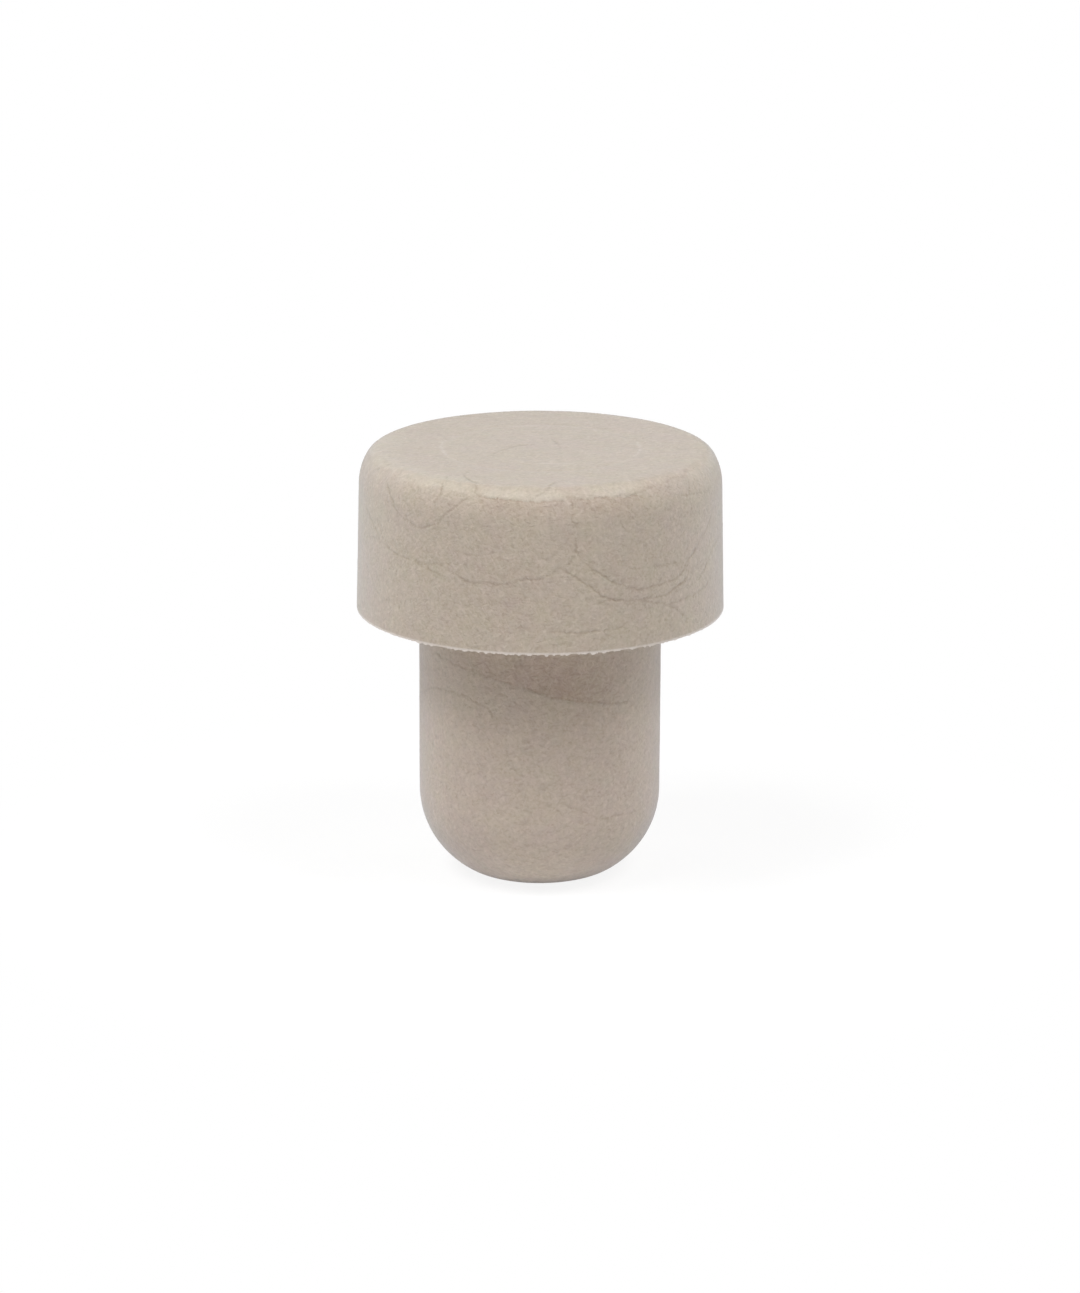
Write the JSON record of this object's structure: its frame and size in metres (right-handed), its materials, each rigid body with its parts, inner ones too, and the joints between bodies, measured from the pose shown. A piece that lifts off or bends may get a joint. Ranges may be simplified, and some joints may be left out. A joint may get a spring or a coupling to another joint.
{
  "type": "cork stopper",
  "caption": "T-shaped bottle stopper moulded in cork-coloured foamed plastic: a round head with a rounded top edge over a straight push-in shank with a rounded tip.",
  "frame": {"origin": "centre of the flat end of the shank's tip, on the stopper's axis", "axes": "+Z along the stopper's axis, from the tip of the shank up to the top of the head"},
  "size_m": [0.0296, 0.0296, 0.035],
  "materials": {
    "moulded_cork": "dull foamed skin, finely mottled beige, with thin darker flow folds and a pale ragged parting line"
  },
  "bodies": {
    "root": {"stopper": "moulded_cork"}
  },
  "joints": []
}
